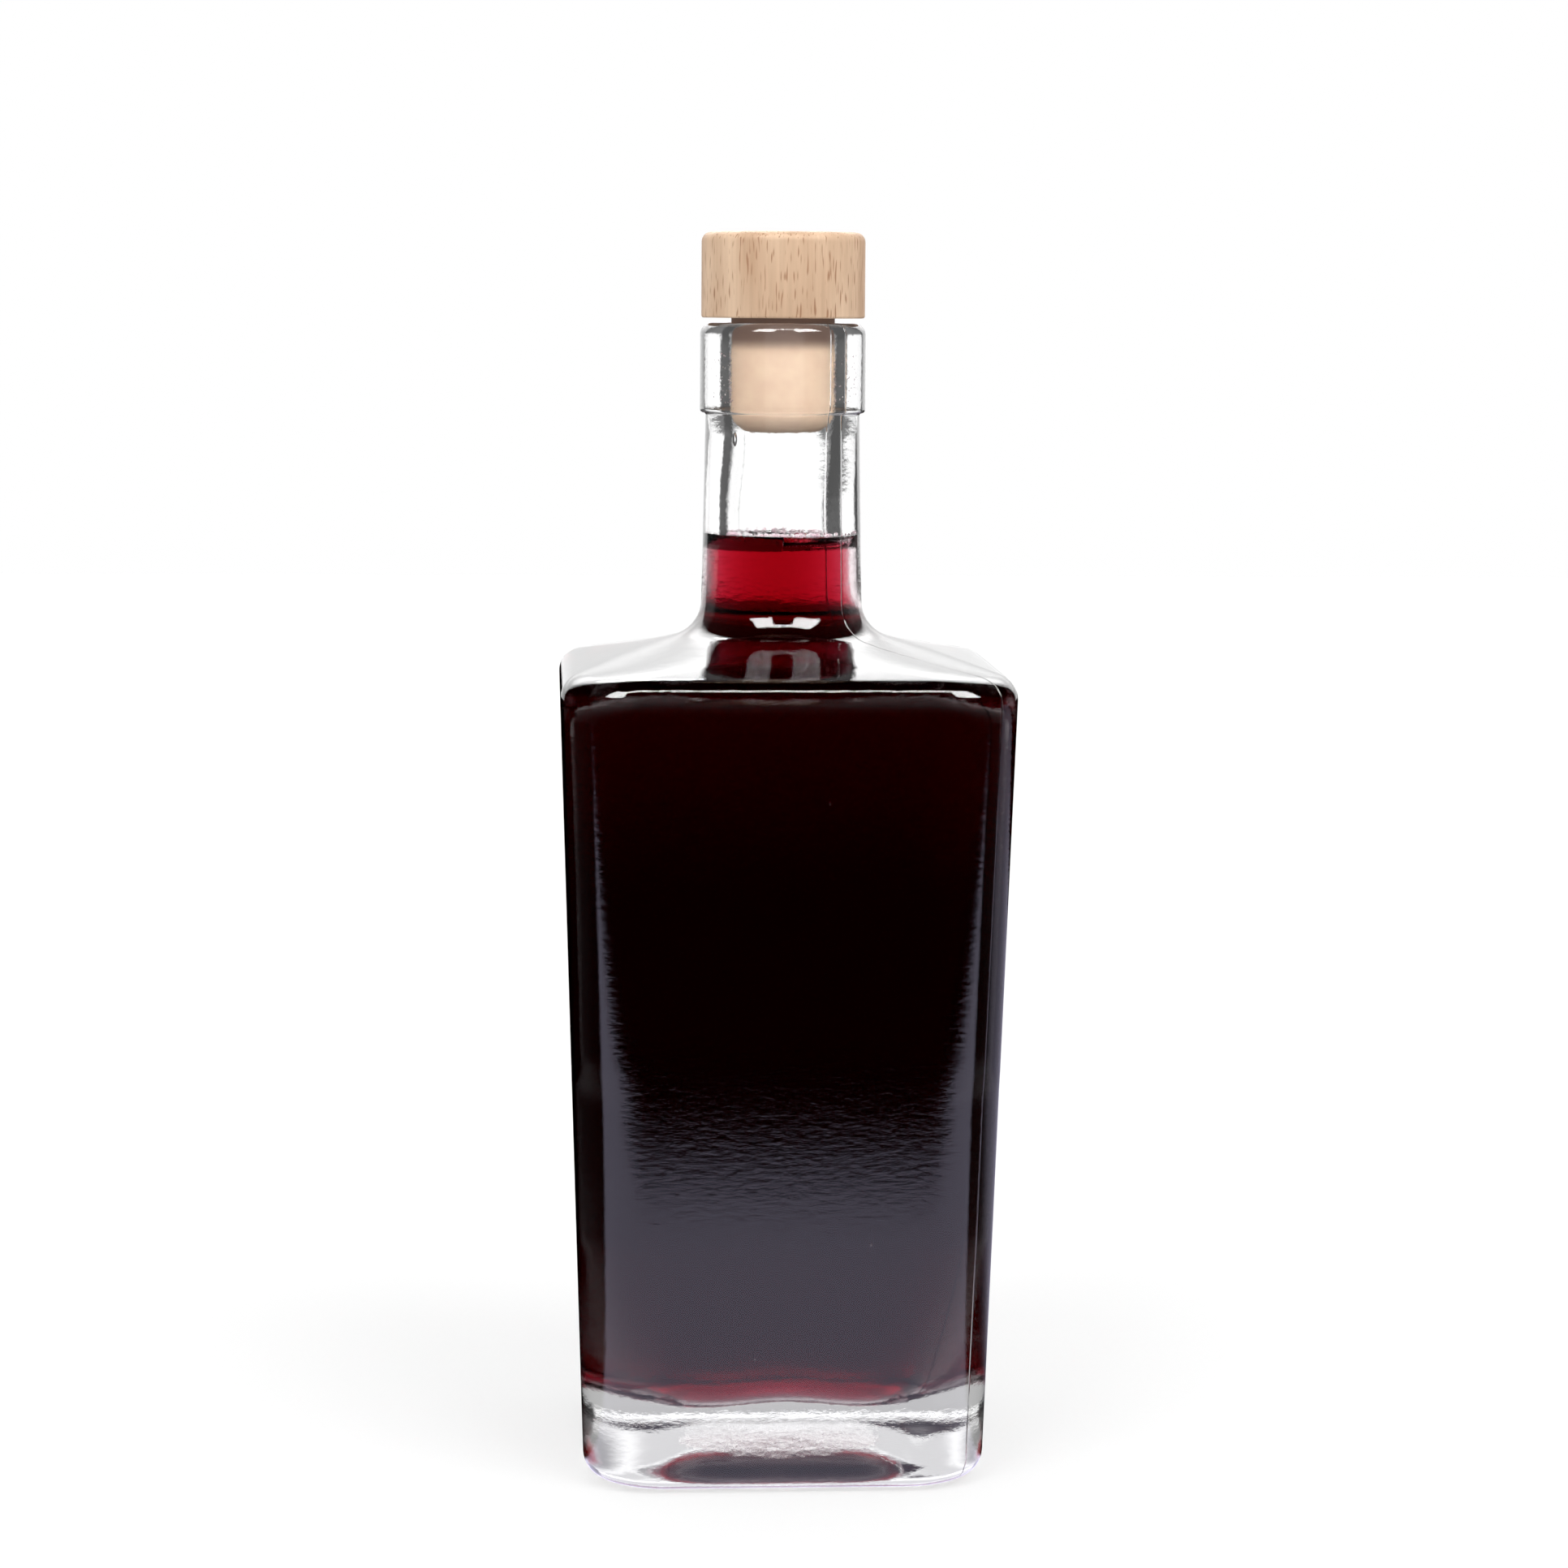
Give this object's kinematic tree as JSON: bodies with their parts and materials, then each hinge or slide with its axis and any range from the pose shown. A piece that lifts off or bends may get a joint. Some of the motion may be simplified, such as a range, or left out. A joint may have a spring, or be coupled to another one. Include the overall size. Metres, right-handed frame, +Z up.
{
  "type": "square glass bottle",
  "caption": "Square glass bottle that widens upwards, with a thick base, a round neck and a wooden-headed push-in stopper, filled with a red liquid.",
  "frame": {"origin": "centre of the base, on the surface that the bottle stands on", "axes": "+Z up along the neck, +X and +Y square to the flat sides; the pictured side faces -Y"},
  "size_m": [0.0818, 0.0818, 0.2265],
  "materials": {
    "clear_glass": "clear flint glass, polished",
    "red_liquid": "clear dark red liquid",
    "beech_wood": "turned beech, unvarnished, short dark flecks",
    "plug_plastic": "matt moulded synthetic cork"
  },
  "bodies": {
    "bottle": {"glass_bottle": "clear_glass", "liquid": "red_liquid"},
    "stopper": {"stopper_head": "beech_wood", "stopper_plug": "plug_plastic"}
  },
  "joints": [
    {"name": "stopper_pull", "type": "slide", "parent": "bottle", "child": "stopper", "axis": [0, 0, 1], "range_m": [0, 0.045]}
  ]
}
